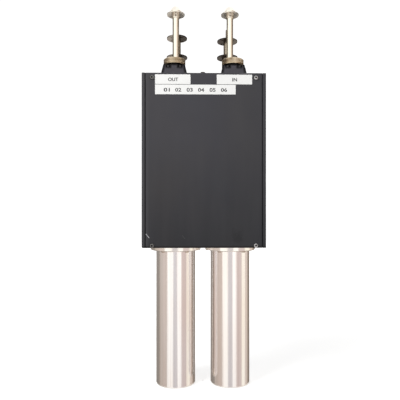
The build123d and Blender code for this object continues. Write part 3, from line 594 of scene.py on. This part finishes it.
slot_finishes = {
    "box_paint": box_paint("box_paint"),
    "base_paint": base_paint("base_paint"),
    "screw_steel": bare_metal("screw_steel", (0.60, 0.58, 0.55), (0.30, 0.27, 0.24), 0.22),
    "screw_black": bare_metal("screw_black", (0.05, 0.05, 0.054), (0.03, 0.028, 0.026), 0.4),
    "label_tape": plastic("label_tape", (0.97, 0.97, 0.96), (0.95, 0.95, 0.94), 0.30),
    "tube_metal": tube_metal("tube_metal"),
    "flange_metal": bare_metal("flange_metal", (0.95, 0.92, 0.88), (0.72, 0.62, 0.50), 0.16,
                               grain=(0.1, 0.1, 1), grain_scale=900, stained=0.3, marked=0.2),
    "cavity_brass": bare_metal("cavity_brass", (0.80, 0.73, 0.58), (0.55, 0.42, 0.26), 0.25),
    "rod_steel": bare_metal("rod_steel", (0.95, 0.92, 0.86), (0.80, 0.70, 0.59), 0.10,
                            grain=(0.1, 0.1, 1), grain_scale=1600, stained=0.25, marked=0.1),
    "disc_metal": disc_metal("disc_metal", fine_y, (0.030, 0.026, 0.022), (0.40, 0.36, 0.32),
                             fine_disc_reflection),
    "bush_brass": bare_metal("bush_brass", (0.62, 0.50, 0.31), (0.30, 0.22, 0.13), 0.28),
    "ring_brass": ring_metal("ring_brass"),
    "insulator_white": plastic("insulator_white", (0.86, 0.86, 0.84), (0.78, 0.77, 0.74), 0.42),
    "contact_metal": bare_metal("contact_metal", (0.82, 0.78, 0.70), (0.55, 0.48, 0.38), 0.2),
    "stem_steel": bare_metal("stem_steel", (0.50, 0.45, 0.38), (0.28, 0.21, 0.14), 0.25,
                             grain=(1, 1, 0.05), grain_scale=700),
}
ink_finish = plastic("ink", (0.035, 0.036, 0.038), (0.055, 0.056, 0.058), 0.45)
cover_screw_finish = cover_screw("cover_screw_metal")
flange_screw_finish = bare_metal("flange_screw_metal", (0.62, 0.52, 0.42), (0.30, 0.22, 0.16), 0.2)
# Darker copy of the disc finish for the in port's discs: painted shade
shaded_disc_finish = disc_metal("shaded_disc_metal", fine_y, (0.045, 0.038, 0.034), (0.14, 0.125, 0.11),
                              fine_disc_reflection)
node_finishes = {
    "fine_disc_in": shaded_disc_finish, "fine_lock_disc_in": shaded_disc_finish,
    "front_cover_screws": cover_screw_finish, "rear_cover_screws": cover_screw_finish,
    "flange_screws_out": flange_screw_finish, "flange_screws_in": flange_screw_finish,
    # Each port's knob disc has its own colours for its painted reflection
    "knob_disc_out": disc_metal("knob_disc_metal", 0, (0.70, 0.66, 0.60), (0.86, 0.81, 0.74),
                                knob_disc_reflection, hub=(0.92, 0.88, 0.80)),
    "knob_disc_in": disc_metal("knob_disc_in_metal", 0, (0.44, 0.41, 0.37), (0.98, 0.94, 0.87),
                               knob_disc_reflection, hub=(0.92, 0.88, 0.80)),
    "coupling_screw": bare_metal("coupling_screw_metal", (0.10, 0.09, 0.08), (0.05, 0.04, 0.03), 0.3),
}


def dress_nodes():
    """Each carried-over node takes the finish of its slot, or one of its own."""
    for part in frame["record"]["subparts"]:
        finish = node_finishes.get(part["node"], slot_finishes[part["material_slot"]])
        node = nodes[part["node"]]
        node.data.materials.clear()
        node.data.materials.append(finish)


def new_object(name, mesh):
    """Object with that mesh, linked to the scene."""
    piece = bpy.data.objects.new(name, mesh)
    bpy.context.scene.collection.objects.link(piece)
    return piece


def stage_material(name, colour=(0, 0, 0), glow=(0, 0, 0)):
    """Material of a stage surface without gloss, matt or glowing, and its node tree and shader."""
    material, tree, shader = new_material(name)
    shader.inputs["Base Color"].default_value = (*colour, 1)
    shader.inputs["Roughness"].default_value = 1.0
    shader.inputs["Specular IOR Level"].default_value = 0.0
    shader.inputs["Emission Color"].default_value = (*glow, 1)
    shader.inputs["Emission Strength"].default_value = 1.0
    return material, tree, shader


def compass(azimuth, radius, height):
    """Point at an azimuth in degrees, 0 in front of the filter and 90 on its right."""
    turn = math.radians(azimuth)
    return Vector((radius * math.sin(turn), -radius * math.cos(turn), height))


def grid_mesh(name, rows, closed=False, looped=False):
    """Mesh over rows of points; closed joins each row's two ends, looped joins the last row to the first."""
    build = bmesh.new()
    points = [[build.verts.new(point) for point in row] for row in rows]
    following = points[1:] + (points[:1] if looped else [])
    for lower, upper in zip(points, following):
        for here in range(len(lower) - (0 if closed else 1)):
            after = (here + 1) % len(lower)
            build.faces.new((lower[here], lower[after], upper[after], upper[here]))
    mesh = bpy.data.meshes.new(name)
    build.to_mesh(mesh)
    build.free()
    return mesh


def round_mesh(name, profile):
    """Mesh of the room's round surface through a profile of radii and heights."""
    rows = [[compass(360 * side / room_sides, radius, height) for side in range(room_sides)]
            for radius, height in profile]
    return grid_mesh(name, rows, closed=True)


def build_room():
    """Pale floor that curves up into a round wall, so that every view has the same plain background."""
    flat_radius = room_radius - room_curve
    profile = [(room_pinhole, 0.0), (flat_radius, 0.0)]
    for step in range(1, room_curve_steps + 1):
        turn = math.radians(90 * step / room_curve_steps)
        profile.append((flat_radius + room_curve * math.sin(turn), room_curve * (1 - math.cos(turn))))
    profile.append((room_radius, room_height))
    mesh = round_mesh("room", profile)
    mesh.shade_smooth()
    material, tree, shader = stage_material("room_white", room_white, (1, 1, 1))
    distance = vector_node(tree, "LENGTH", object_point(tree))
    strength = spread(tree, distance, glow_start, glow_end, floor_glow, wall_glow)
    tree.links.new(strength, shader.inputs["Emission Strength"])
    mesh.materials.append(material)
    room = new_object("room", mesh)
    room.visible_glossy = room.visible_diffuse = False


def build_ceiling():
    """White cone over the room, which only the camera sees."""
    mesh = round_mesh("ceiling", [(room_radius, room_height), (room_pinhole, room_height + room_curve)])
    mesh.materials.append(stage_material("ceiling_white", glow=(1, 1, 1))[0])
    ceiling = new_object("ceiling", mesh)
    ceiling.visible_glossy = ceiling.visible_diffuse = ceiling.visible_shadow = False


def hang_gore(name, low, high, start, width, colour):
    """One glowing gore between two elevations, from an azimuth on, a little weaker far below the horizon."""
    columns = math.ceil(width / gore_step)
    levels = math.ceil((high - low) / gore_step)
    rows = []
    for level in range(levels + 1):
        tilt = math.radians(low + (high - low) * level / levels)
        radius, height = gore_radius * math.cos(tilt), gore_radius * math.sin(tilt)
        rows.append([compass(start + width * column / columns, radius, height)
                     for column in range(columns + 1)])
    mesh = grid_mesh(name, rows)
    material, tree, shader = stage_material(name, glow=colour)
    material.cycles.emission_sampling = "NONE"
    height = axes_of(tree, object_point(tree))[2]
    strength = spread(tree, height, gore_low_height, gore_full_height, gore_low_strength, 1.0)
    tree.links.new(strength, shader.inputs["Emission Strength"])
    mesh.materials.append(material)
    gore = new_object(name, mesh)
    gore.visible_camera = gore.visible_diffuse = gore.visible_shadow = False


def hang_gores():
    """All the gores: nothing but gloss sees them."""
    for (low, high), gores in gore_bands.items():
        for index, (start, colour) in enumerate(gores):
            following = gores[(index + 1) % len(gores)][0]
            hang_gore(f"gore_{low + 90}_{index}", low, high, start, (following - start) % 360, colour)


def hang_light(name, azimuth, distance, height, width, power):
    """Square soft box that faces the middle of the filter, unseen by gloss and camera."""
    light = bpy.data.objects.new(name, bpy.data.lights.new(name, "AREA"))
    bpy.context.scene.collection.objects.link(light)
    light.location = compass(azimuth, distance, height)
    aim = Vector((0, 0, light_aim)) - light.location
    light.rotation_euler = aim.to_track_quat("-Z", "Y").to_euler()
    light.data.shape = "SQUARE"
    light.data.size = width
    light.data.energy = power
    light.visible_camera = light.visible_glossy = False


def light_studio():
    """Plain soft light: a pale world, soft boxes and the gores that the bare metal mirrors."""
    world = bpy.data.worlds.new("studio")
    world.use_nodes = True
    background = world.node_tree.nodes["Background"]
    background.inputs["Color"].default_value = world_colour
    background.inputs["Strength"].default_value = world_strength
    bpy.context.scene.world = world
    for name, place in soft_boxes.items():
        hang_light(name, *place)
    hang_gores()
    bpy.context.scene.view_settings.view_transform = "Standard"


def finish_piece(piece, body, finish):
    """A piece of the filter rides on its body and takes its material."""
    piece.data.materials.append(finish)
    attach(piece, body)


def soften(mesh):
    """Smooth shading with crisp edges."""
    mesh.shade_smooth()
    mesh.set_sharp_from_angle(angle=crease_angle)


def turned_mesh(name, sides, axis, outline):
    """Closed mesh round an upright axis; outline gives its radii and heights at a share of a turn."""
    columns = []
    for side in range(sides):
        turn = side / sides
        columns.append([compass(360 * turn, radius, height) + Vector((*axis, 0))
                        for radius, height in outline(turn)])
    rows = [list(row) for row in zip(*columns)]
    mesh = grid_mesh(name, rows, closed=True, looped=True)
    soften(mesh)
    return mesh


def ring_thread_cut(height, turn, low, high):
    """How far below the crest the helical thread of a ring lies, run out at both ends."""
    phase = (height / ring_pitch - turn) % 1
    from_crest = 0.5 - abs(phase - 0.5)
    groove = min(1.0, max(0.0, ring_thread_slope * from_crest - ring_thread_crest))
    runout = min(1.0, (height - low) / ring_pitch, (high - height) / ring_pitch)
    return ring_thread_depth * groove * max(0.0, runout)


def build_ring(port):
    """Connector body with the thread of its ring cut as a helix, in place of the plain solid."""
    node = f"connector_body_{port}"
    low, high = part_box(node)
    crest = (high[0] - low[0]) / 2
    bottom, top = high[2] - ring_height, high[2]
    relief_top = bottom + 2 * ring_edge_break
    thread_top = top - ring_edge_break
    cup_floor = top - ring_cup_depth
    cup_radius = crest - ring_wall
    bore_radius = neck_radius - neck_wall
    levels = math.ceil((thread_top - relief_top) / ring_pitch * thread_steps)

    def outline(turn):
        points = [(bore_radius, low[2]), (neck_radius, low[2]), (neck_radius, bottom),
                  (crest - ring_relief, bottom), (crest - ring_relief, relief_top)]
        for level in range(levels + 1):
            height = relief_top + (thread_top - relief_top) * level / levels
            points.append((crest - ring_thread_cut(height, turn, relief_top, thread_top), height))
        return points + [(crest - ring_edge_break, top), (cup_radius, top), (cup_radius, cup_floor),
                         (bore_radius, cup_floor)]

    name = f"threaded_ring_{port}"
    ring = new_object(name, turned_mesh(name, ring_sides, centre_of(node)[:2], outline))
    finish_piece(ring, "housing", slot_finishes["ring_brass"])
    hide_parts(node)


def build_screw_thread(name, body, finish, axis, bottom, top, radius, pitch):
    """Helical thread over a plain screw, round an upright axis given as x and y."""
    levels = math.ceil((top - bottom) / pitch * thread_steps)
    sunk = radius - screw_thread_sink
    crest = radius + screw_thread_depth + screw_thread_lift

    def outline(turn):
        points = [(sunk, bottom)]
        for level in range(levels + 1):
            height = bottom + (top - bottom) * level / levels
            phase = (height / pitch - turn) % 1
            points.append((crest - screw_thread_depth * (1 - abs(2 * phase - 1)), height))
        return points + [(sunk, top)]

    mesh = turned_mesh(name, screw_thread_sides, axis, outline)
    finish_piece(new_object(name, mesh), body, finish)


def build_stud_thread(port):
    """Thread on the thin stud above the rear disc."""
    disc_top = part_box(f"fine_disc_{port}")[1][2]
    stud_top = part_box(f"fine_rod_{port}")[1][2]
    axis = (centre_of(f"fine_rod_{port}")[0], fine_y)
    build_screw_thread(f"stud_thread_{port}", f"fine_{port}", slot_finishes["stem_steel"], axis,
                       disc_top + stud_pitch / 2, stud_top - stud_pitch / 2, stud_radius, stud_pitch)


def build_coupling_thread():
    """Thread on the coupling screw, from above the nut's top when it is screwed all the way in."""
    nut_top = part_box("coupling_lock_nut")[1][2]
    screw_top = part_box("coupling_screw")[1][2]
    build_screw_thread("coupling_thread", "coupling_adjuster", node_finishes["coupling_screw"],
                       centre_of("coupling_screw")[:2], nut_top + coupling_travel + coupling_gap,
                       screw_top - coupling_pitch / 2, coupling_radius, coupling_pitch)


def build_set_screw(port):
    """Socket set screw in the front of a knob disc's hub, which clamps the tuning rod."""
    centre_x, centre_y = centre_of(f"knob_disc_{port}")[:2]
    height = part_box(f"knob_disc_{port}")[0][2] + hub_height / 2
    front = centre_y - hub_radius + set_screw_gap
    back = centre_y - rod_radius - set_screw_gap
    floor = (front + back) / 2
    break_radius = set_screw_radius - set_screw_break
    sector = 360 / set_screw_corners

    def circle(radius, depth, cornered=False):
        points = []
        for side in range(set_screw_sides):
            turn = 360 * side / set_screw_sides
            reach = radius
            if cornered:
                from_flat = math.radians(turn % sector - sector / 2)
                reach *= math.cos(math.radians(sector / 2)) / math.cos(from_flat)
            across, up = reach * math.sin(math.radians(turn)), reach * math.cos(math.radians(turn))
            points.append(Vector((centre_x + across, depth, height + up)))
        return points

    rows = [circle(set_screw_pinhole, back), circle(set_screw_radius, back),
            circle(set_screw_radius, front + set_screw_break), circle(break_radius, front),
            circle(set_screw_socket, front, cornered=True), circle(set_screw_socket, floor, cornered=True),
            circle(set_screw_pinhole, floor)]
    name = f"set_screw_{port}"
    mesh = grid_mesh(name, rows, closed=True)
    soften(mesh)
    finish_piece(new_object(name, mesh), f"tuning_{port}", slot_finishes["stem_steel"])


def print_words(build, words, centre, rise, width):
    """Thin letters on the label tape, centred at an x and z, with a rise and a width."""
    curve = bpy.data.curves.new("words", "FONT")
    curve.body = words
    curve.extrude = letter_half_depth
    curve.offset = letter_boldness
    curve.resolution_u = letter_steps
    holder = bpy.data.objects.new("words", curve)
    letters = bpy.data.meshes.new_from_object(holder)
    lows = [min(vertex.co[axis] for vertex in letters.vertices) for axis in range(2)]
    highs = [max(vertex.co[axis] for vertex in letters.vertices) for axis in range(2)]
    for vertex in letters.vertices:
        across, up = ((vertex.co[axis] - lows[axis]) / (highs[axis] - lows[axis]) - 0.5 for axis in range(2))
        depth = (vertex.co.z + letter_half_depth) * ink_thickness
        vertex.co = (centre[0] + across * width, label_front - depth, centre[1] + up * rise)
    build.from_mesh(letters)
    bpy.data.objects.remove(holder)
    bpy.data.curves.remove(curve)
    bpy.data.meshes.remove(letters)


def print_labels():
    """Port words and plain channel numbers on the tapes, in one piece."""
    build = bmesh.new()
    for words, centre_x, width in port_words:
        print_words(build, words, (centre_x, port_words_height), port_words_rise, width)
    for index in range(channel_numbers):
        centre_x = channel_first + (channel_last - channel_first) * index / (channel_numbers - 1)
        print_words(build, f"{index + 1:02d}", (centre_x, channel_height), channel_rise, channel_width)
    bmesh.ops.recalc_face_normals(build, faces=build.faces)
    mesh = bpy.data.meshes.new("label_print")
    build.to_mesh(mesh)
    build.free()
    finish_piece(new_object("label_print", mesh), "housing", ink_finish)


aim_camera()
light_studio()
build_room()
build_ceiling()
dress_nodes()
for port_name in ports:
    build_ring(port_name)
    build_stud_thread(port_name)
    build_set_screw(port_name)
build_coupling_thread()
print_labels()
